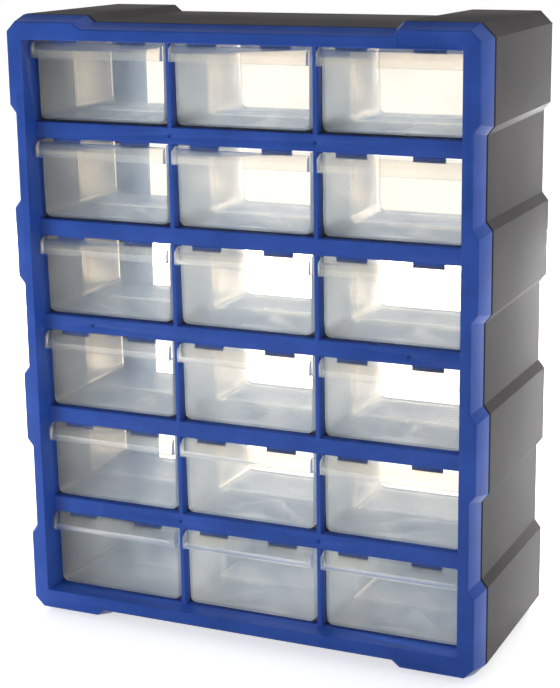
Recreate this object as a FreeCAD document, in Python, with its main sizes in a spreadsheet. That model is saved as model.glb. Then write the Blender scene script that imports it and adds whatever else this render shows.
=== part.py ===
import FreeCAD, Part
import math
import os
import re

import Sketcher

# A wall or bench cabinet for small parts: a moulded front frame with a lattice of rails,
# a grey rear housing, a guide grid clamped between them, and eighteen clear drawers that
# slide in it, three across and six high.
# X runs to the right, Y to the rear and Z up. The origin lies on the surface that the
# cabinet stands on, in the middle of its width and depth.

# Driving dimensions in millimetres. A name that ends in share is a ratio.
SIZES = [
    ("width", 380, "over the side lobes"),
    ("depth", 160, "front of the frame to the rear of the housing"),
    ("height", 475, "over the corner blocks"),
    # outline of frame and housing
    ("corner_chamfer", 10, "cut across each corner of the outline"),
    ("notch_depth", 4.9, "lobe to recess"),
    ("notch_slope", 6.2, "length of the slope between lobe and recess"),
    ("end_block", 73, "corner block on the side, to the middle of its slope"),
    ("block_length", 68, "corner block on top and bottom, to the middle of its slope"),
    ("corner_shift_share", 0.41, "how far a corner moves along when the outline is inset"),
    ("slope_shift_share", 0.8, "how far a slope moves along when the outline is inset"),
    # bays for the drawers
    ("side_margin", 17.1, "cabinet side to the nearest bay"),
    ("sill_height", 19.4, "underside to the lowest bay"),
    ("head_height", 17.65, "highest bay to the top"),
    ("divider_width", 3.4, "between two columns"),
    ("rail_height", 12.35, "between two rows"),
    # front frame
    ("frame_depth", 18, "front face to its rear edge"),
    ("frame_flare", 4.4, "how much the outline grows to the rear"),
    ("frame_wall", 2.2, "wall"),
    ("rail_setback", 15, "front face to the rails"),
    ("rail_depth", 8, "rails and dividers, front to rear"),
    ("frame_edge", 1, "broken front and rear edges"),
    ("bay_edge", 0.5, "broken edges of mouth and bays"),
    ("plate_width", 42, "bare recess for a name plate"),
    ("plate_height", 10.6, "bare recess for a name plate"),
    ("plate_depth", 0.5, "bare recess for a name plate"),
    ("plate_margin", 22, "cabinet side to the recess"),
    ("plate_drop", 5.9, "cabinet top to the recess"),
    ("stop_width", 23.6, "stops that hang behind a drawer's panel"),
    ("stop_place", 29.2, "middle of a stop, from the middle of the pair"),
    ("stop_shift", 2.9, "the pair of stops, to the left of the bay's middle"),
    ("stop_drop", 4.4, "stops, below the rail"),
    ("gate_ring_radius", 1.6, "dimple round a moulding gate"),
    ("gate_tip_radius", 0.7, "stub left by a moulding gate"),
    ("gate_depth", 0.9, "dimple round a moulding gate"),
    ("gate_outer_place", 130, "gate marks of the middle rail, from the centre"),
    # rear housing
    ("housing_draft", 1.5, "how much the outline shrinks to the rear"),
    ("housing_wall", 2.4, "wall"),
    ("sole_trim", 0.5, "cut off under the corner blocks to make them flat"),
    ("seam_gap", 1.8, "shadow groove between frame and housing"),
    ("tongue_reach", 2.5, "tongue that enters the frame"),
    ("tongue_wall", 2.4, "tongue"),
    ("shoulder_width", 2.8, "ledge behind the guide grid"),
    ("shoulder_thickness", 2.4, "ledge behind the guide grid"),
    ("rear_margin", 35, "rear flange, from the cabinet's side, top and bottom"),
    ("rear_thickness", 2.4, "rear flange"),
    ("rear_corner", 8, "rounded corners of the rear opening"),
    ("hanging_hole_radius", 2.5, "screw holes in the rear flange"),
    ("hanging_hole_margin", 22, "screw holes from side, top and bottom"),
    # guide grid
    ("fit_gap", 0.3, "clearance between pieces that fit together"),
    ("grid_thickness", 3, "plate of the guide grid"),
    ("grid_relief", 0.4, "bays of the grid stand back behind the rails"),
    ("guide_reach", 56.5, "length of the guides"),
    ("guide_half_width", 10.5, "flange that the drawers ride on"),
    ("guide_thickness", 3.2, "flange that the drawers ride on"),
    ("guide_lift", 1.3, "top of the flange above the rail"),
    ("web_height", 7, "upright between two drawers, above the rail"),
    ("web_thickness", 3, "upright between two drawers"),
    # drawers
    ("drawer_side_gap", 2.5, "bay to the drawer's rim, each side"),
    ("drawer_top_gap", 1.5, "drawer's rim to the rail above"),
    ("drawer_rear_gap", 28.8, "drawer to the rear of the cabinet"),
    ("drawer_setback", 17.2, "cabinet front to the drawer's panel"),
    ("drawer_wall", 1.3, "wall and floor"),
    ("drawer_draft", 0.7, "how much each side leans in at the floor"),
    ("drawer_corner", 5.5, "outside corner along the floor"),
    ("drawer_edge", 2, "outside edge of front panel and rear wall"),
    ("lip_side_gap", 1.3, "bay to the handle lip, each side"),
    ("lip_reach", 11.4, "handle lip in front of the panel"),
    ("lip_drop", 6.4, "rim down to the nose"),
    ("lip_skirt", 6.4, "nose down to the lower edge"),
    ("lip_foot", 6.7, "lower edge in front of the panel"),
    ("lip_corner", 7, "rounded ends of the lip"),
    ("lip_wall", 1.3, "handle lip"),
    ("lip_end_wall", 2.2, "ends of the handle lip"),
    ("hood_back_share", 1.5, "how far the hollow stands back from the lip, in walls"),
    ("hood_down_share", 0.36, "how far the hollow lies below the lip, in walls"),
    ("slot_rib", 1, "ribs of the slot for a cross divider, wide and high"),
    ("slot_width", 2, "slot for a cross divider"),
    ("slot_top_gap", 12, "rim down to the top of those ribs"),
    ("mark_radius", 2.2, "moulding mark in the drawer floor"),
    ("mark_depth", 0.3, "moulding mark in the drawer floor"),
    # how far a cut runs past the solid
    ("overrun", 2, "cuts"),
]
COLUMNS = 3
ROWS = 6
SIDE_SLOPES = 6

os.makedirs("parts", exist_ok=True)
doc = FreeCAD.newDocument("cabinet")
sheet = doc.addObject("Spreadsheet::Sheet", "Sizes")
for row, (alias, value, note) in enumerate(SIZES, start=1):
    sheet.set("A%d" % row, alias)
    sheet.set("B%d" % row, str(value))
    sheet.set("C%d" % row, note)
    sheet.setAlias("B%d" % row, alias)
doc.recompute()


ALIASES = {alias for alias, value, note in SIZES}
# sizes that follow from the ones above
WORKED_OUT = {
    "lobe_pitch": "(height - 2 * end_block) / %d" % (SIDE_SLOPES - 1),
    "column_pitch": "(width - 2 * side_margin + divider_width) / %d" % COLUMNS,
    "row_pitch": "(height - sill_height - head_height + rail_height) / %d" % ROWS,
    "bay_width": "column_pitch - divider_width",
    "bay_height": "row_pitch - rail_height",
    "drawer_width": "bay_width - 2 * drawer_side_gap",
    "drawer_length": "depth - drawer_setback - drawer_rear_gap",
    "drawer_height": "bay_height - guide_lift - fit_gap - drawer_top_gap",
    "lip_width": "bay_width - 2 * lip_side_gap",
}


def spell(word):
    if word in WORKED_OUT:
        return "(%s)" % size(WORKED_OUT[word])
    return "Sizes." * (word in ALIASES) + word


def size(text):
    """Turn words such as 'width / 2' into an expression that reads the sheet."""
    return re.sub("[a-z_]+", lambda found: spell(found[0]), text)


def number(text):
    """The value that an expression has now."""
    return float(sheet.evalExpression(size(text)))


def bodyAt(name, x="0", y="0", z="0"):
    body = doc.addObject("PartDesign::Body", name)
    body.Label = name
    for axis, text in (("x", x), ("y", y), ("z", z)):
        body.setExpression("Placement.Base." + axis, size(text))
    return body


def sketchOn(body, name, role, offset="0"):
    """A sketch on one of the body's own planes, moved along the plane's normal."""
    plane = next(f for f in body.Origin.OriginFeatures if f.Role == role)
    sketch = body.newObject("Sketcher::SketchObject", name)
    sketch.AttachmentSupport = (plane, [""])
    sketch.MapMode = "FlatFace"
    sketch.setExpression("AttachmentOffset.Base.z", size(offset))
    return sketch


def frontSketch(body, name, depth="0"):
    """A sketch seen from the front, at a depth behind the body's front plane."""
    return sketchOn(body, name, "XZ_Plane", "-(%s)" % depth)


def drawLoop(sketch, corners):
    """Draw a closed outline; each corner is a pair of expressions tied to the sheet."""
    first = sketch.GeometryCount
    firstRule = sketch.ConstraintCount
    points = [FreeCAD.Vector(number(x), number(y), 0) for x, y in corners]
    count = len(points)
    sketch.addGeometry([Part.LineSegment(points[i], points[(i + 1) % count]) for i in range(count)])
    rules = [
        Sketcher.Constraint("Coincident", first + i, 2, first + (i + 1) % count, 1)
        for i in range(count)
    ]
    for i, point in enumerate(points):
        rules.append(Sketcher.Constraint("DistanceX", -1, 1, first + i, 1, point.x))
        rules.append(Sketcher.Constraint("DistanceY", -1, 1, first + i, 1, point.y))
    sketch.addConstraint(rules)
    for i, (x, y) in enumerate(corners):
        sketch.setExpression("Constraints[%d]" % (firstRule + count + 2 * i), size(x))
        sketch.setExpression("Constraints[%d]" % (firstRule + count + 2 * i + 1), size(y))


def drawRectangle(sketch, left, right, low, high):
    drawLoop(sketch, [(left, low), (right, low), (right, high), (left, high)])


def drawCircle(sketch, x, y, radius):
    index = sketch.addGeometry(
        Part.Circle(FreeCAD.Vector(number(x), number(y), 0), FreeCAD.Vector(0, 0, 1), number(radius))
    )
    for kind, text in (("DistanceX", x), ("DistanceY", y)):
        rule = sketch.addConstraint(Sketcher.Constraint(kind, -1, 1, index, 3, number(text)))
        sketch.setExpression("Constraints[%d]" % rule, size(text))
    rule = sketch.addConstraint(Sketcher.Constraint("Radius", index, number(radius)))
    sketch.setExpression("Constraints[%d]" % rule, size(radius))


def drawCorneredLoop(sketch, corners, radii):
    """A closed outline whose corners are rounded where radii names a radius."""
    points = [FreeCAD.Vector(number(x), number(y), 0) for x, y in corners]
    count = len(points)
    # cut each line back to where its round corners begin
    cuts = []
    for i, corner in enumerate(points):
        before = (points[i - 1] - corner).normalize()
        after = (points[(i + 1) % count] - corner).normalize()
        reach = 0
        if radii[i] is not None:
            reach = number(radii[i]) / math.tan(before.getAngle(after) / 2)
        cuts.append((corner + before * reach, corner + after * reach, before, after))
    lines = {}
    for i in range(count):
        start = cuts[i][1]
        end = cuts[(i + 1) % count][0]
        lines[i] = sketch.addGeometry(Part.LineSegment(start, end))
    for i in range(count):
        line, last = lines[i], lines[(i - 1) % count]
        if radii[i] is None:
            sketch.addConstraint(Sketcher.Constraint("Coincident", last, 2, line, 1))
            corner = (line, 1)
        else:
            start, end, before, after = cuts[i]
            radius = number(radii[i])
            reach = radius / math.sin(before.getAngle(after) / 2)
            centre = points[i] + (before + after).normalize() * reach
            leftTurn = (start - centre).cross(end - centre).z > 0
            near, far = (1, 2) if leftTurn else (2, 1)
            opens, closes = (start, end) if leftTurn else (end, start)
            begin = math.atan2(opens.y - centre.y, opens.x - centre.x)
            finish = math.atan2(closes.y - centre.y, closes.x - centre.x)
            if finish < begin:
                finish += 2 * math.pi
            circle = Part.Circle(centre, FreeCAD.Vector(0, 0, 1), radius)
            arc = sketch.addGeometry(Part.ArcOfCircle(circle, begin, finish))
            sketch.addConstraint(Sketcher.Constraint("Tangent", last, 2, arc, near))
            sketch.addConstraint(Sketcher.Constraint("Tangent", arc, far, line, 1))
            rule = sketch.addConstraint(Sketcher.Constraint("Radius", arc, radius))
            sketch.setExpression("Constraints[%d]" % rule, size(radii[i]))
            # a construction point marks the corner that the round replaces
            mark = sketch.addGeometry(Part.Point(points[i]), True)
            sketch.addConstraint(Sketcher.Constraint("PointOnObject", mark, 1, last))
            sketch.addConstraint(Sketcher.Constraint("PointOnObject", mark, 1, line))
            corner = (mark, 1)
        for kind, text, value in (
            ("DistanceX", corners[i][0], points[i].x),
            ("DistanceY", corners[i][1], points[i].y),
        ):
            rule = sketch.addConstraint(Sketcher.Constraint(kind, -1, 1, corner[0], corner[1], value))
            sketch.setExpression("Constraints[%d]" % rule, size(text))


def pad(body, name, sketch, length, along=False):
    """Add material behind a front sketch, or along the normal of another sketch."""
    feature = body.newObject("PartDesign::Pad", name)
    feature.Profile = sketch
    feature.setExpression("Length", size(length))
    feature.Reversed = not along
    return feature


def pocket(body, name, sketch, length, along=False):
    """Cut behind a front sketch, or along the normal of another sketch."""
    feature = body.newObject("PartDesign::Pocket", name)
    feature.Profile = sketch
    feature.setExpression("Length", size(length))
    feature.Reversed = along
    return feature


def loft(body, kind, name, sketches):
    feature = body.newObject("PartDesign::" + kind, name)
    feature.Profile = sketches[0]
    feature.Sections = sketches[1:]
    feature.Ruled = True
    return feature


def gridPattern(body, name, original, sketch, columns, rows):
    """Repeat a feature over the bays, counted from the lowest left one."""
    pattern = body.newObject("PartDesign::LinearPattern", name)
    pattern.Originals = [original]
    pattern.Direction = (sketch, ["H_Axis"])
    pattern.Mode = "Spacing"
    pattern.Occurrences = columns
    pattern.setExpression("Offset", size("column_pitch"))
    pattern.Direction2 = (sketch, ["V_Axis"])
    pattern.Mode2 = "Spacing"
    pattern.Occurrences2 = rows
    pattern.setExpression("Offset2", size("row_pitch"))
    # no row has a spacing of its own
    pattern.Spacings2 = [-1.0] * (rows - 1)
    body.Tip = pattern
    return pattern


def dressEdges(body, kind, name, amount, chosen):
    """Fillet or chamfer the edges of the body so far that the chooser picks."""
    doc.recompute()
    base = body.Tip
    edges = ["Edge%d" % (i + 1) for i, edge in enumerate(base.Shape.Edges) if chosen(edge)]
    feature = body.newObject("PartDesign::" + kind, name)
    feature.Base = (base, edges)
    feature.setExpression("Radius" if kind == "Fillet" else "Size", size(amount))
    return feature


def flatAt(edge, axis, place):
    """Does the whole edge lie at this place along the axis?"""
    box = edge.BoundBox
    low = getattr(box, axis + "Min")
    high = getattr(box, axis + "Max")
    return abs(low - place) < NEAR and abs(high - place) < NEAR


NEAR = number("fit_gap") / 30


def outline(inset, lift=None, trim="0"):
    """The lobed outline of the cabinet, taken in by an inset.

    lift is the inset of the underside, and the corner blocks reach below it by the trim."""
    lift = inset if lift is None else lift
    slide = "(%s) * slope_shift_share" % inset
    corner = "corner_chamfer + (%s) * corner_shift_share" % inset
    side = "width / 2 - (%s)" % inset
    top = "height / 2 - (%s)" % inset
    block = "width / 2 - block_length"
    quarter = [
        ("%s - notch_slope / 2 + %s" % (block, slide), top + " - notch_depth"),
        ("%s + notch_slope / 2 + %s" % (block, slide), top),
        ("width / 2 - (%s)" % corner, top),
        (side, "height / 2 - (%s)" % corner),
    ]
    # the slopes above mid-height, from the top down: lobe, recess, lobe, half a recess
    for slope in range(SIDE_SLOPES // 2):
        middle = "lobe_pitch * %s" % (SIDE_SLOPES / 2 - slope - 0.5)
        if slope % 2 == 0:
            quarter.append((side, "%s + notch_slope / 2 + %s" % (middle, slide)))
            quarter.append((side + " - notch_depth", "%s - notch_slope / 2 + %s" % (middle, slide)))
        else:
            quarter.append((side + " - notch_depth", "%s + notch_slope / 2 - %s" % (middle, slide)))
            quarter.append((side, "%s - notch_slope / 2 - %s" % (middle, slide)))
    upper = [(x, "height / 2 + (%s)" % z) for x, z in quarter]
    lower = [(x, "height / 2 - (%s)" % z) for x, z in quarter]
    # the lowest corners of each side keep to the lift
    lower[0] = (lower[0][0], "%s + (%s) - (%s)" % (lower[0][1], lift, inset))
    lower[1:3] = [(x, "%s + (%s) - (%s) - (%s)" % (z, lift, inset, trim)) for x, z in lower[1:3]]
    half = upper + lower[::-1]
    return half + [("-(%s)" % x, z) for x, z in reversed(half)]


BAYS_LEFT = "-(column_pitch * %d) - bay_width / 2" % (COLUMNS // 2)
BAYS_RIGHT = "column_pitch * %d + bay_width / 2" % (COLUMNS // 2)
BAYS_LOW = "sill_height"
BAYS_HIGH = "sill_height + row_pitch * %d + bay_height" % (ROWS - 1)
FRONT = "-depth / 2"


def frameInset(depth, wall="0"):
    """Inset of the flared frame at a depth behind its front face."""
    return "frame_flare * (1 - (%s) / frame_depth) + (%s)" % (depth, wall)


def makeFrontFrame():
    body = bodyAt("front_frame", y=FRONT)
    sections = []
    for name, depth, edge in (("front", "0", "frame_edge"), ("bevel", "frame_edge", "0"),
                              ("seam", "frame_depth - frame_edge", "0"),
                              ("rear", "frame_depth", "frame_edge")):
        section = frontSketch(body, "frame_" + name, depth)
        drawLoop(section, outline(frameInset(depth, edge)))
        sections.append(section)
    loft(body, "AdditiveLoft", "frame_form", sections)

    # the frame is a hollow moulding, open to the rear
    front = frontSketch(body, "hollow_front", "frame_wall")
    drawLoop(front, outline(frameInset("frame_wall", "frame_wall")))
    rear = frontSketch(body, "hollow_rear", "frame_depth + overrun")
    drawLoop(rear, outline(frameInset("frame_depth + overrun", "frame_wall")))
    loft(body, "SubtractiveLoft", "frame_hollow", [front, rear])

    # the tunnel round the drawers carries the lattice at its rear end
    tunnel = frontSketch(body, "tunnel_outline")
    drawRectangle(tunnel, BAYS_LEFT + " - frame_wall", BAYS_RIGHT + " + frame_wall",
                  BAYS_LOW + " - frame_wall", BAYS_HIGH + " + frame_wall")
    pad(body, "tunnel", tunnel, "rail_setback + rail_depth")
    mouth = frontSketch(body, "mouth_outline", "-overrun")
    drawRectangle(mouth, BAYS_LEFT, BAYS_RIGHT, BAYS_LOW, BAYS_HIGH)
    pocket(body, "mouth", mouth, "rail_setback + overrun")
    bay = frontSketch(body, "bay_outline", "rail_setback - overrun")
    drawRectangle(bay, BAYS_LEFT, BAYS_LEFT + " + bay_width", BAYS_LOW, BAYS_LOW + " + bay_height")
    window = pocket(body, "bay", bay, "rail_depth + 2 * overrun")
    gridPattern(body, "bays", window, bay, COLUMNS, ROWS)

    # the rails are channels, open to the rear
    channel = frontSketch(body, "channel_outline", "rail_setback + frame_wall")
    drawRectangle(channel, BAYS_LEFT, BAYS_LEFT + " + bay_width",
                  BAYS_LOW + " + bay_height + frame_wall", BAYS_LOW + " + row_pitch - frame_wall")
    hollow = pocket(body, "channel", channel, "rail_depth - frame_wall + overrun")
    gridPattern(body, "channels", hollow, channel, COLUMNS, ROWS - 1)

    # two stops hang into each drawer behind its panel, and its rear wall meets them when pulled
    stops = frontSketch(body, "stop_outline", "drawer_setback + drawer_wall + fit_gap")
    for side in ("-", "+"):
        middle = "%s + bay_width / 2 - stop_shift %s stop_place" % (BAYS_LEFT, side)
        drawRectangle(stops, middle + " - stop_width / 2", middle + " + stop_width / 2",
                      BAYS_LOW + " + bay_height - stop_drop",
                      BAYS_LOW + " + bay_height + frame_wall / 2")
    pair = pad(body, "stop_pair", stops, "frame_wall")
    gridPattern(body, "stop_pairs", pair, stops, COLUMNS, ROWS)

    # bare recess for a name plate on the upper right block
    plate = frontSketch(body, "plate_outline", "-overrun")
    drawRectangle(plate, "width / 2 - plate_margin - plate_width", "width / 2 - plate_margin",
                  "height - plate_drop - plate_height", "height - plate_drop")
    pocket(body, "plate_recess", plate, "plate_depth + overrun")

    # six moulding gates: a dimple with a stub in it, on every other rail
    gates = frontSketch(body, "gate_outline", "rail_setback - overrun")
    railMiddle = "sill_height + row_pitch * %d - (row_pitch - bay_height) / 2"
    for rail, place in ((1, "column_pitch / 2"), (3, "gate_outer_place"), (5, "column_pitch / 2")):
        for side in ("", "-"):
            for radius in ("gate_ring_radius", "gate_tip_radius"):
                drawCircle(gates, side + place, railMiddle % rail, radius)
    pocket(body, "gate_marks", gates, "gate_depth + overrun")

    mouthEdge = number(BAYS_RIGHT)
    dressEdges(body, "Chamfer", "mouth_edges", "bay_edge",
               lambda e: flatAt(e, "Y", 0) and e.BoundBox.XMax < mouthEdge + NEAR
               and e.BoundBox.XMin > -mouthEdge - NEAR
               and e.BoundBox.ZMin > number(BAYS_LOW) - NEAR
               and e.BoundBox.ZMax < number(BAYS_HIGH) + NEAR)
    lattice = number("rail_setback")
    high = number(BAYS_HIGH)
    low = number(BAYS_LOW)
    dressEdges(body, "Chamfer", "rail_edges", "bay_edge",
               lambda e: flatAt(e, "Y", lattice) and e.Curve.TypeId == "Part::GeomLine"
               and not flatAt(e, "Z", low) and not flatAt(e, "Z", high)
               and not flatAt(e, "X", mouthEdge) and not flatAt(e, "X", -mouthEdge))
    return body


# depths behind the cabinet's front face
GRID_FRONT = "rail_setback + rail_depth + fit_gap"
SHOULDER = GRID_FRONT + " + grid_thickness + fit_gap"
TONGUE_FRONT = "frame_depth - tongue_reach"
HOUSING_FRONT = "frame_depth + seam_gap"
# insets from the outline at the seam
TONGUE_OUTER = frameInset(TONGUE_FRONT, "frame_wall + fit_gap")
TONGUE_INNER = TONGUE_OUTER + " + tongue_wall"
GRID_OUTER = TONGUE_INNER + " + fit_gap"


def housingOutline(depth, wall="0", trim="0"):
    """Outline of the housing at a depth behind the cabinet's front face, within a wall."""
    run = "((%s) - (%s)) / (depth - (%s))" % (depth, HOUSING_FRONT, HOUSING_FRONT)
    return outline("housing_draft * %s + (%s)" % (run, wall), wall, trim)


def makeHousing():
    body = bodyAt("rear_housing", y=FRONT)
    sections = []
    for name, depth, edge in (("front", HOUSING_FRONT, "0"), ("end", "depth - frame_edge", "0"),
                              ("rear", "depth", "frame_edge")):
        section = frontSketch(body, "housing_" + name, depth)
        drawLoop(section, housingOutline(depth, edge, "sole_trim"))
        sections.append(section)
    loft(body, "AdditiveLoft", "housing_form", sections)
    sole = sketchOn(body, "sole_outline", "XY_Plane")
    drawRectangle(sole, "-width / 2 - overrun", "width / 2 + overrun", "0", "depth + overrun")
    pocket(body, "sole", sole, "sole_trim + overrun")

    before = HOUSING_FRONT + " - overrun"
    behind = "depth - rear_thickness"
    front = frontSketch(body, "room_front", before)
    drawLoop(front, housingOutline(before, "housing_wall"))
    rear = frontSketch(body, "room_rear", behind)
    drawLoop(rear, housingOutline(behind, "housing_wall"))
    loft(body, "SubtractiveLoft", "housing_room", [front, rear])

    # shoulder that the guide grid rests against, the collar round the grid, and the tongue
    # that enters the frame
    shoulder = frontSketch(body, "shoulder_outline", SHOULDER)
    drawLoop(shoulder, outline("housing_wall / 2"))
    drawLoop(shoulder, outline(TONGUE_INNER + " + shoulder_width"))
    pad(body, "shoulder", shoulder, "shoulder_thickness")
    collar = frontSketch(body, "collar_outline", HOUSING_FRONT)
    drawLoop(collar, outline("housing_wall / 2"))
    drawLoop(collar, outline(TONGUE_INNER))
    pad(body, "collar", collar, "%s - (%s)" % (SHOULDER, HOUSING_FRONT))
    tongue = frontSketch(body, "tongue_outline", TONGUE_FRONT)
    drawLoop(tongue, outline(TONGUE_OUTER))
    drawLoop(tongue, outline(TONGUE_INNER))
    pad(body, "tongue", tongue, "%s - (%s)" % (HOUSING_FRONT, TONGUE_FRONT))

    # the rear is open inside a flange with four screw holes for hanging
    opening = frontSketch(body, "rear_outline", behind + " - overrun")
    side = "width / 2 - rear_margin"
    top = "height - rear_margin"
    drawCorneredLoop(opening,
                     [("-(%s)" % side, "rear_margin"), (side, "rear_margin"), (side, top),
                      ("-(%s)" % side, top)], ["rear_corner"] * 4)
    pocket(body, "rear_opening", opening, "rear_thickness + 2 * overrun")
    holes = frontSketch(body, "hole_outline", behind + " - overrun")
    for sign in ("", "-"):
        for z in ("hanging_hole_margin", "height - hanging_hole_margin"):
            drawCircle(holes, "%s(width / 2 - hanging_hole_margin)" % sign, z, "hanging_hole_radius")
    pocket(body, "hanging_holes", holes, "rear_thickness + 2 * overrun")
    return body


def guideProfiles(sketch):
    """Section through the guides of the lowest row: two at the sides, two between columns."""
    low = BAYS_LOW + " + guide_lift - guide_thickness"
    flange = BAYS_LOW + " + guide_lift"
    web = BAYS_LOW + " + web_height"
    for sign in ("-", ""):
        centre = "column_pitch / 2"
        drawLoop(sketch, [
            ("%s(%s - guide_half_width)" % (sign, centre), low),
            ("%s(%s + guide_half_width)" % (sign, centre), low),
            ("%s(%s + guide_half_width)" % (sign, centre), flange),
            ("%s(%s + web_thickness / 2)" % (sign, centre), flange),
            ("%s(%s + web_thickness / 2)" % (sign, centre), web),
            ("%s(%s - web_thickness / 2)" % (sign, centre), web),
            ("%s(%s - web_thickness / 2)" % (sign, centre), flange),
            ("%s(%s - guide_half_width)" % (sign, centre), flange),
        ])
        wall = "column_pitch * %s - web_thickness / 2" % (COLUMNS / 2)
        drawLoop(sketch, [
            ("%s(column_pitch * %s - guide_half_width)" % (sign, COLUMNS / 2), low),
            ("%s(%s + web_thickness)" % (sign, wall), low),
            ("%s(%s + web_thickness)" % (sign, wall), web),
            ("%s(%s)" % (sign, wall), web),
            ("%s(%s)" % (sign, wall), flange),
            ("%s(column_pitch * %s - guide_half_width)" % (sign, COLUMNS / 2), flange),
        ])


def makeGuideGrid():
    body = bodyAt("guide_grid", y=FRONT)
    plate = frontSketch(body, "grid_outline", GRID_FRONT)
    drawLoop(plate, outline(GRID_OUTER))
    pad(body, "grid_plate", plate, "grid_thickness")
    bay = frontSketch(body, "grid_bay_outline", GRID_FRONT + " - overrun")
    # the lower edge of each bay is a ledge level with the guides
    drawRectangle(bay, BAYS_LEFT + " - grid_relief", BAYS_LEFT + " + bay_width + grid_relief",
                  BAYS_LOW + " + guide_lift", BAYS_LOW + " + bay_height + grid_relief")
    window = pocket(body, "grid_bay", bay, "grid_thickness + 2 * overrun")
    gridPattern(body, "grid_bays", window, bay, COLUMNS, ROWS)
    section = frontSketch(body, "guide_section", GRID_FRONT)
    guideProfiles(section)
    guides = pad(body, "guides", section, "guide_reach")
    gridPattern(body, "guide_rows", guides, section, 1, ROWS)
    return body


def trayLoop(sketch, inset, top):
    """Front view of the drawer's tray, taken in by an inset, up to a height."""
    wide = "drawer_width / 2 - (%s)" % inset
    lean = "drawer_draft / drawer_height"
    high = "%s - %s * (drawer_height - (%s))" % (wide, lean, top)
    low = "%s - %s * (drawer_height - (%s))" % (wide, lean, inset)
    drawCorneredLoop(sketch,
                     [("-(%s)" % low, inset), (low, inset), (high, top), ("-(%s)" % high, top)],
                     ["drawer_corner - (%s)" % inset, "drawer_corner - (%s)" % inset, None, None])


def makeTray():
    body = bodyAt("tray_pattern")
    outside = frontSketch(body, "tray_outline")
    trayLoop(outside, "0", "drawer_height")
    pad(body, "tray_form", outside, "drawer_length")
    top = number("drawer_height")
    length = number("drawer_length")
    dressEdges(body, "Fillet", "tray_rounding", "drawer_edge",
               lambda e: (flatAt(e, "Y", 0) or flatAt(e, "Y", length)) and not flatAt(e, "Z", top))
    inside = frontSketch(body, "room_outline", "drawer_wall")
    trayLoop(inside, "drawer_wall", "drawer_height + overrun")
    pocket(body, "tray_room", inside, "drawer_length - 2 * drawer_wall")
    front = number("drawer_wall")
    dressEdges(body, "Fillet", "room_rounding", "drawer_edge - drawer_wall / 2",
               lambda e: (flatAt(e, "Y", front) or flatAt(e, "Y", length - front))
               and not flatAt(e, "Z", top))

    # ribs half way along hold a cross divider between them
    middle = "drawer_length / 2"
    for name, start in (("front", middle + " - slot_width / 2 - slot_rib"),
                        ("rear", middle + " + slot_width / 2")):
        rib = frontSketch(body, name + "_rib_outline", start)
        trayLoop(rib, "drawer_wall / 2", "drawer_height - slot_top_gap")
        pad(body, name + "_rib", rib, "slot_rib")
    clear = frontSketch(body, "rib_room_outline", middle + " - slot_width - slot_rib")
    trayLoop(clear, "drawer_wall + slot_rib", "drawer_height + overrun")
    pocket(body, "rib_room", clear, "2 * (slot_width + slot_rib)")

    marks = sketchOn(body, "mark_outline", "XY_Plane", "drawer_wall - mark_depth")
    drawCircle(marks, "0", middle + " - slot_width - slot_rib - mark_radius", "mark_radius")
    drawCircle(marks, "0", "lip_foot + lip_corner", "mark_radius / 2")
    pocket(body, "floor_marks", marks, "mark_depth + overrun", along=True)
    return body


def lipSolid(name, inset, end, shift, drop):
    """The handle lip, or the hollow in it: moved back by a shift and down by a drop."""
    body = bodyAt(name)
    half = "(lip_width / 2 - (%s))" % end
    side = sketchOn(body, name + "_side", "YZ_Plane", "-" + half)
    nose = "-lip_reach + " + shift
    foot = "-lip_foot + " + shift
    under = "drawer_height - lip_drop - lip_skirt - (%s)" % drop
    rear = "drawer_wall + (%s)" % inset
    drawLoop(side, [(rear, "drawer_height - (%s)" % drop), (shift, "drawer_height - (%s)" % drop),
                    (nose, "drawer_height - lip_drop - (%s)" % drop), (foot, under),
                    (rear, under)])
    pad(body, name + "_form", side, "2 * " + half, along=True)
    corners = sketchOn(body, name + "_corners", "XY_Plane")
    inner = half + " - lip_corner - overrun"
    outer = half + " + overrun"
    behind = nose + " + lip_corner + overrun"
    for sign in ("", "-"):
        drawCorneredLoop(corners, [
            ("%s(%s)" % (sign, inner), nose), (sign + half, nose), (sign + half, behind),
            ("%s(%s)" % (sign, outer), behind), ("%s(%s)" % (sign, outer), nose + " - overrun"),
            ("%s(%s)" % (sign, inner), nose + " - overrun"),
        ], [None, "lip_corner - (%s)" % inset, None, None, None, None])
    pocket(body, name + "_ends", corners, "drawer_height + overrun", along=True)
    return body


def makeDrawers():
    """One drawer is modelled, and each bay gets a copy of it."""
    # the lip is a hood, open below and behind
    lip = doc.addObject("Part::Cut", "lip_pattern")
    lip.Base = lipSolid("lip_outside", "0", "0", "0", "0")
    lip.Tool = lipSolid("lip_hollow", "lip_wall", "lip_end_wall",
                        "lip_wall * hood_back_share", "lip_wall * hood_down_share")
    pattern = doc.addObject("Part::Fuse", "drawer_pattern")
    pattern.Base = makeTray()
    pattern.Tool = lip
    pattern.Refine = True
    drawers = []
    for row in range(ROWS):
        for column in range(COLUMNS):
            name = "drawer_row%d_column%d" % (ROWS - row, column + 1)
            drawer = bodyAt(name, "column_pitch * %d" % (column - COLUMNS // 2),
                            "-depth / 2 + drawer_setback",
                            "sill_height + row_pitch * %d + guide_lift + fit_gap" % row)
            copy = drawer.newObject("PartDesign::FeatureBase", name + "_form")
            copy.BaseFeature = pattern
            drawer.Tip = copy
            drawers.append(drawer)
    return drawers


subParts = [makeFrontFrame(), makeHousing(), makeGuideGrid()] + makeDrawers()
doc.recompute()
failed = [thing.Name for thing in doc.Objects if {"Invalid", "Error"} & set(thing.State)]
if failed:
    raise RuntimeError("these did not compute: " + ", ".join(failed))
for part in subParts:
    if part.Shape.isNull() or not part.Shape.isValid():
        raise RuntimeError(part.Label + " has no valid shape")
for part in subParts:
    part.Shape.exportStep("parts/%s.step" % part.Label)
    print(part.Label, len(part.Shape.Solids), round(part.Shape.Volume), part.Shape.BoundBox)
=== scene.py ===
import math

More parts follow.
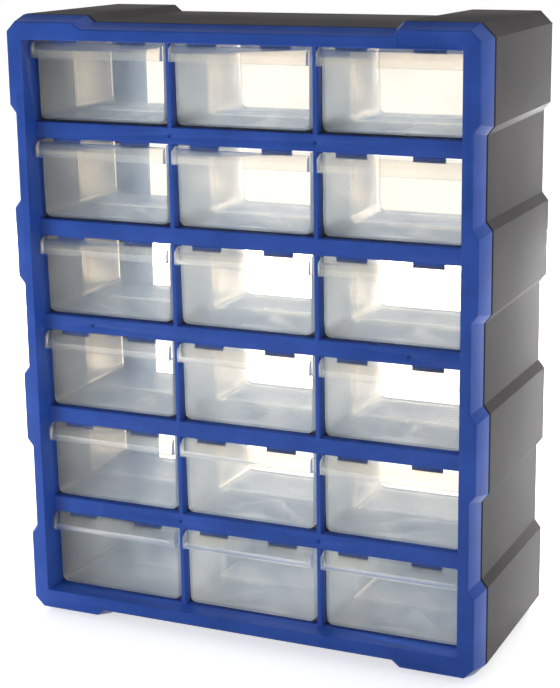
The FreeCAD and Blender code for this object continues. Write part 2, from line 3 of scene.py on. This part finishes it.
import bpy
from mathutils import Matrix, Vector


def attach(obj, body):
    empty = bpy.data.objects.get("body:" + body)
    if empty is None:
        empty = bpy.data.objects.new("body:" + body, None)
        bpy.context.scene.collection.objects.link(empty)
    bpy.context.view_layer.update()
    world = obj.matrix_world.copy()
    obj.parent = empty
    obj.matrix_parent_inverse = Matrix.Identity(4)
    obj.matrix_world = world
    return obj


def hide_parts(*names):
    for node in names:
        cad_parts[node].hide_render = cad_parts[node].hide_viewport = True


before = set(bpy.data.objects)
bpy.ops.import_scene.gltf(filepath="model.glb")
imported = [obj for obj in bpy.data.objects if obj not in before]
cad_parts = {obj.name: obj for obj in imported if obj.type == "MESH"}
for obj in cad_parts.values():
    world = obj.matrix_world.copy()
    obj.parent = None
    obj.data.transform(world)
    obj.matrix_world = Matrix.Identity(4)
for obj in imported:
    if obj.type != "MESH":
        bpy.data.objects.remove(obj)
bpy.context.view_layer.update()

mm = 0.001
white = "#ffffff"


def linearColour(hexColour):
    # sRGB hex to the linear values that sockets take
    parts = [int(hexColour[i:i + 2], 16) / 255 for i in (1, 3, 5)]
    return [c / 12.92 if c <= 0.04045 else ((c + 0.055) / 1.055) ** 2.4 for c in parts] + [1.0]


def addNode(tree, kind, values=None, links=None, **settings):
    # one node, its socket values, and the sockets that feed it
    node = tree.nodes.new(kind)
    for name, value in settings.items():
        setattr(node, name, value)
    for socket, value in (values or {}).items():
        node.inputs[socket].default_value = value
    for socket, source in (links or {}).items():
        tree.links.new(source, node.inputs[socket])
    return node


def newMaterial(name):
    material = bpy.data.materials.new(name)
    material.use_nodes = True
    tree = material.node_tree
    tree.nodes.clear()
    return material, tree


def finishMaterial(tree, shader):
    addNode(tree, "ShaderNodeOutputMaterial", links={"Surface": shader})


def cloudy(tree, size, detail, distortion=0.0):
    # noise from 0 to 1 in Object coordinates, where size is one unit of it in metres
    place = addNode(tree, "ShaderNodeTexCoord")
    scaled = addNode(tree, "ShaderNodeMapping", {"Scale": [1 / size] * 3},
                     {"Vector": place.outputs["Object"]})
    values = {"Scale": 1.0, "Detail": detail, "Distortion": distortion}
    return addNode(tree, "ShaderNodeTexNoise", values,
                   {"Vector": scaled.outputs[0]}).outputs["Fac"]


def bumped(tree, height, distance):
    return addNode(tree, "ShaderNodeBump", {"Strength": 1.0, "Distance": distance},
                   {"Height": height}).outputs[0]


noiseLow, noiseHigh = 0.35, 0.65  # most of the noise lies between these


def twoColours(tree, factor, low, high):
    ramp = addNode(tree, "ShaderNodeValToRGB", links={"Fac": factor})
    ends = zip(ramp.color_ramp.elements, (noiseLow, noiseHigh), (low, high))
    for element, position, colour in ends:
        element.position = position
        element.color = linearColour(colour)
    return ramp.outputs["Color"]


def spread(tree, factor, low, high):
    return addNode(tree, "ShaderNodeMapRange", {"To Min": low, "To Max": high},
                   {"Value": factor}).outputs[0]


# the frame: polystyrene injected into a polished mould, so an even gloss with a faint
# unevenness, and slightly lighter and darker streaks where the melt flowed
blueFrame = {
    "dark": "#204596",
    "light": "#2a4fa6",
    "flowSize": 38 * mm,
    "flowDetail": 3.0,
    "flowBend": 0.6,
    "waveSize": 5 * mm,
    "waveDetail": 2.0,
    "waveHeight": 0.02 * mm,
    "roughest": 0.38,
    "smoothest": 0.28,
    "index": 1.59,
    "gloss": 0.16,
}


def mouldedBluePolystyrene():
    p = blueFrame
    material, tree = newMaterial("moulded blue polystyrene")
    flow = cloudy(tree, p["flowSize"], p["flowDetail"], p["flowBend"])
    wave = cloudy(tree, p["waveSize"], p["waveDetail"])
    shader = addNode(tree, "ShaderNodeBsdfPrincipled", {
        "IOR": p["index"], "Specular IOR Level": p["gloss"]}, {
        "Base Color": twoColours(tree, flow, p["dark"], p["light"]),
        "Roughness": spread(tree, flow, p["smoothest"], p["roughest"]),
        "Normal": bumped(tree, wave, p["waveHeight"])})
    finishMaterial(tree, shader.outputs[0])
    return material


# the housing and the guides: polypropylene from a spark-eroded mould, a fine dull grain
greyHousing = {
    "dark": "#393637",
    "light": "#403d3d",
    "flowSize": 55 * mm,
    "flowDetail": 3.0,
    "grainSize": 0.7 * mm,  # the real grain is about 0.1 mm, too fine to show
    "grainDetail": 4.0,
    "grainHeight": 0.02 * mm,
    "roughest": 0.58,
    "smoothest": 0.44,
    "index": 1.49,
    "gloss": 0.3,
}


def texturedGreyPolypropylene():
    p = greyHousing
    material, tree = newMaterial("spark-textured grey polypropylene")
    flow = cloudy(tree, p["flowSize"], p["flowDetail"])
    grain = cloudy(tree, p["grainSize"], p["grainDetail"])
    shader = addNode(tree, "ShaderNodeBsdfPrincipled", {
        "IOR": p["index"], "Specular IOR Level": p["gloss"]}, {
        "Base Color": twoColours(tree, flow, p["dark"], p["light"]),
        "Roughness": spread(tree, grain, p["smoothest"], p["roughest"]),
        "Normal": bumped(tree, grain, p["grainHeight"])})
    finishMaterial(tree, shader.outputs[0])
    return material


# the drawers: natural polypropylene from a polished mould, walls so thin that the eye looks
# straight through them; its crystals scatter a little light as a bluish bloom, more where
# the eye meets the wall edge on, and what passes through comes out slightly warm
clearDrawer = {
    "passed": "#f8f3ea",
    "shade": "#fdfbf8",
    "bloomDark": "#b6cdec",
    "bloomLight": "#d2e4fb",
    "flowSize": 30 * mm,
    "waveSize": 9 * mm,
    "detail": 2.0,
    "waveHeight": 0.015 * mm,
    "roughness": 0.25,
    "glossIndex": 1.2,  # below the plastic's 1.49, as a wall's two faces share one reflection
    "forward": 0.5,  # the part of the bloom that goes on through the wall
    "leastBloom": 0.06,
    "mostBloom": 0.08,
    "edgeBloom": 0.5,
    "edgeBlend": 0.3,
    "edgePower": 4.0,
}


def milkyClearPolypropylene():
    p = clearDrawer
    material, tree = newMaterial("milky clear polypropylene")
    flow = cloudy(tree, p["flowSize"], p["detail"])
    wave = cloudy(tree, p["waveSize"], p["detail"])
    passed = addNode(tree, "ShaderNodeBsdfTransparent", {"Color": linearColour(p["passed"])})
    gloss = addNode(tree, "ShaderNodeBsdfGlossy", {"Roughness": p["roughness"]},
                    {"Normal": bumped(tree, wave, p["waveHeight"])})
    mirror = addNode(tree, "ShaderNodeFresnel", {"IOR": p["glossIndex"]})
    clean = addNode(tree, "ShaderNodeMixShader", links={
        0: mirror.outputs[0], 1: passed.outputs[0], 2: gloss.outputs[0]})
    milk = twoColours(tree, flow, p["bloomDark"], p["bloomLight"])
    back = addNode(tree, "ShaderNodeBsdfDiffuse", links={"Color": milk})
    through = addNode(tree, "ShaderNodeBsdfTranslucent", links={"Color": milk})
    scattered = addNode(tree, "ShaderNodeMixShader", {0: p["forward"]}, {
        1: back.outputs[0], 2: through.outputs[0]})
    edgeOn = addNode(tree, "ShaderNodeLayerWeight", {"Blend": p["edgeBlend"]}).outputs["Facing"]
    rim = addNode(tree, "ShaderNodeMath", {1: p["edgePower"]}, {0: edgeOn},
                  operation="POWER").outputs[0]
    bloom = addNode(tree, "ShaderNodeMath", {1: p["edgeBloom"]}, {
        0: rim, 2: spread(tree, flow, p["leastBloom"], p["mostBloom"])},
        operation="MULTIPLY_ADD", use_clamp=True).outputs[0]
    milky = addNode(tree, "ShaderNodeMixShader", links={
        0: bloom, 1: clean.outputs[0], 2: scattered.outputs[0]})
    # light reaches what lies in and behind the drawers, slightly dimmed by each wall
    dimmed = addNode(tree, "ShaderNodeBsdfTransparent", {"Color": linearColour(p["shade"])})
    path = addNode(tree, "ShaderNodeLightPath")
    both = addNode(tree, "ShaderNodeMixShader", links={
        0: path.outputs["Is Shadow Ray"], 1: milky.outputs[0], 2: dimmed.outputs[0]})
    finishMaterial(tree, both.outputs[0])
    return material


def roundedCopy(node, body, material, edge):
    # the moulding's own mesh with its loose triangles joined and its sharp edges broken
    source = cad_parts[node]
    bpy.ops.object.select_all(action="DESELECT")
    piece = source.copy()
    piece.data = source.data.copy()
    piece.name = node + edge["ending"]
    bpy.context.scene.collection.objects.link(piece)
    piece.select_set(True)
    bpy.context.view_layer.objects.active = piece
    bpy.ops.object.mode_set(mode="EDIT")
    bpy.ops.mesh.select_all(action="SELECT")
    bpy.ops.mesh.remove_doubles(threshold=edge["merge"])
    bpy.ops.mesh.dissolve_limited(angle_limit=edge["flat"])
    bpy.ops.object.mode_set(mode="OBJECT")
    bevel = piece.modifiers.new("soft edges", "BEVEL")
    bevel.width = edge["width"]
    bevel.segments = edge["segments"]
    bevel.limit_method = "ANGLE"
    bevel.angle_limit = edge["sharp"]
    bevel.harden_normals = False
    bpy.ops.object.modifier_apply(modifier=bevel.name)
    bpy.ops.object.shade_smooth_by_angle(angle=edge["smooth"])
    piece.data.materials.clear()
    piece.data.materials.append(material)
    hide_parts(node)
    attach(piece, body)


mouldedEdge = {
    "ending": "_moulding",
    "merge": 0.001 * mm,
    "flat": math.radians(0.2),
    "sharp": math.radians(25),
    "smooth": math.radians(32),
    "width": 0.3 * mm,
    "segments": 2,
}

blue = mouldedBluePolystyrene()
grey = texturedGreyPolypropylene()
clear = milkyClearPolypropylene()
print("materials made")

roundedCopy("front_frame", "cabinet", blue, mouldedEdge)
roundedCopy("rear_housing", "cabinet", grey, mouldedEdge)
roundedCopy("guide_grid", "cabinet", grey, mouldedEdge)
print("frame, housing and guides dressed")

rows, columns = 6, 3
for row in range(1, rows + 1):
    for column in range(1, columns + 1):
        place = "row%d_column%d" % (row, column)
        roundedCopy("drawer_" + place, "bin_" + place, clear, mouldedEdge)
print("drawers dressed")


# the room: a white table and backdrop, soft lights at the right, behind the open rear and
# low at the left, and a black card out of the picture that shows in glosses
room = {
    "floorSide": 12.0,
    "floorColour": "#e8e8e8",
    "floorLift": 0.62,
    "skyStrength": 0.3,
    "rearStrength": 1.5,
    "rearFrom": 0.5,  # how far a direction has to point to the rear for the full strength
    "lamps": (
        # name, place, width, height, power, colour, seen in gloss
        ("right softbox", (2.3, -0.6, 0.35), 1.0, 1.0, 12, white, True),
        ("rear softbox", (-0.45, 1.6, 0.24), 1.1, 0.45, 160, white, False),
        ("left softbox", (-0.62, -0.66, 0.12), 0.4, 0.4, 4.5, white, False),
    ),
    "cardPlace": (-0.8, 2.6, 2.0),
    "cardSize": (3.6, 2.4),
    "cardColour": "#101010",
    "lookAt": (0.0, 0.0, 0.24),
    "bounces": 24,
}


def seenRay(tree):
    # 1 on rays that the eye sees straight on, in a gloss or through clear plastic
    path = addNode(tree, "ShaderNodeLightPath")
    gloss = addNode(tree, "ShaderNodeMath", operation="MAXIMUM", links={
        0: path.outputs["Is Camera Ray"], 1: path.outputs["Is Glossy Ray"]})
    return addNode(tree, "ShaderNodeMath", operation="MAXIMUM", links={
        0: gloss.outputs[0], 1: path.outputs["Is Transmission Ray"]}).outputs[0]


def makeWorld():
    world = bpy.data.worlds.new("white studio")
    bpy.context.scene.world = world
    world.use_nodes = True
    tree = world.node_tree
    tree.nodes.clear()
    # the lit backdrop behind the cabinet is the brighter part of the surroundings
    toward = addNode(tree, "ShaderNodeSeparateXYZ", links={
        0: addNode(tree, "ShaderNodeTexCoord").outputs["Generated"]})
    level = addNode(tree, "ShaderNodeMapRange", {
        "From Min": 0.0, "From Max": room["rearFrom"],
        "To Min": room["skyStrength"], "To Max": room["rearStrength"]},
        {"Value": toward.outputs["Y"]})
    soft = addNode(tree, "ShaderNodeBackground", {"Color": linearColour(white)},
                   {"Strength": level.outputs[0]})
    plain = addNode(tree, "ShaderNodeBackground", {"Color": linearColour(white), "Strength": 1.0})
    mixed = addNode(tree, "ShaderNodeMixShader", links={
        0: seenRay(tree), 1: soft.outputs[0], 2: plain.outputs[0]})
    addNode(tree, "ShaderNodeOutputWorld", links={"Surface": mixed.outputs[0]})


def makeTable():
    bpy.ops.object.select_all(action="DESELECT")
    bpy.ops.mesh.primitive_plane_add(size=room["floorSide"], location=(0, 0, 0))
    floor = bpy.context.object
    floor.name = "white_table"
    material, tree = newMaterial("white table paper")
    paper = addNode(tree, "ShaderNodeBsdfDiffuse", {"Color": linearColour(room["floorColour"])})
    lift = addNode(tree, "ShaderNodeMath", {1: room["floorLift"]}, {0: seenRay(tree)},
                   operation="MULTIPLY")
    glow = addNode(tree, "ShaderNodeEmission", {"Color": linearColour(white)},
                   {"Strength": lift.outputs[0]})
    both = addNode(tree, "ShaderNodeAddShader", links={0: paper.outputs[0], 1: glow.outputs[0]})
    finishMaterial(tree, both.outputs[0])
    floor.data.materials.append(material)


def makeCard():
    # a black card above the backdrop keeps its glare off the upper faces
    bpy.ops.object.select_all(action="DESELECT")
    bpy.ops.mesh.primitive_plane_add(size=1, location=room["cardPlace"],
                                     rotation=(math.pi / 2, 0, 0))
    card = bpy.context.object
    card.name = "black_card"
    card.scale = (*room["cardSize"], 1)
    material, tree = newMaterial("black card")
    black = addNode(tree, "ShaderNodeBsdfDiffuse", {"Color": linearColour(room["cardColour"])})
    finishMaterial(tree, black.outputs[0])
    card.data.materials.append(material)
    card.visible_diffuse = False
    card.visible_shadow = False


def makeLamps():
    target = Vector(room["lookAt"])
    for name, place, width, height, power, colour, inGloss in room["lamps"]:
        bpy.ops.object.light_add(type="AREA", location=place)
        lamp = bpy.context.object
        lamp.name = name.replace(" ", "_")
        lamp.data.shape = "RECTANGLE"
        lamp.data.size = width
        lamp.data.size_y = height
        lamp.data.energy = power
        lamp.data.color = linearColour(colour)[:3]
        lamp.visible_glossy = inGloss
        lamp.rotation_euler = (target - lamp.location).to_track_quat("-Z", "Y").to_euler()


def setCycles():
    # a look through three rows of clear drawers crosses some twenty walls
    cycles = bpy.context.scene.cycles
    cycles.max_bounces = room["bounces"]
    cycles.transmission_bounces = room["bounces"]
    cycles.transparent_max_bounces = room["bounces"]


# fitted to points on the outline of the photographed cabinet; angles in radians
view = {
    "place": (0.559124, -1.219503, 0.564777),
    "turn": 0.427,  # to the left of straight to the rear
    "tilt": -0.252,
    "roll": -0.014,
    "lens": 93.176,
    "shift": (-0.00922, 0.00182),
}


def makeCamera():
    turn, tilt, roll = view["turn"], view["tilt"], view["roll"]
    ahead = Vector((-math.sin(turn) * math.cos(tilt), math.cos(turn) * math.cos(tilt),
                    math.sin(tilt)))
    right = ahead.cross(Vector((0, 0, 1))).normalized()
    up = right.cross(ahead)
    rolledRight = right * math.cos(roll) + up * math.sin(roll)
    rolledUp = up * math.cos(roll) - right * math.sin(roll)
    camera = bpy.data.objects.new("camera", bpy.data.cameras.new("camera"))
    bpy.context.scene.collection.objects.link(camera)
    turned = Matrix((rolledRight, rolledUp, -ahead)).transposed()
    camera.matrix_world = Matrix.Translation(view["place"]) @ turned.to_4x4()
    camera.data.lens = view["lens"]
    camera.data.shift_x, camera.data.shift_y = view["shift"]
    bpy.context.scene.camera = camera


makeWorld()
makeTable()
makeCard()
makeLamps()
makeCamera()
setCycles()
bpy.context.scene.view_settings.view_transform = "Standard"
print("room and camera set")
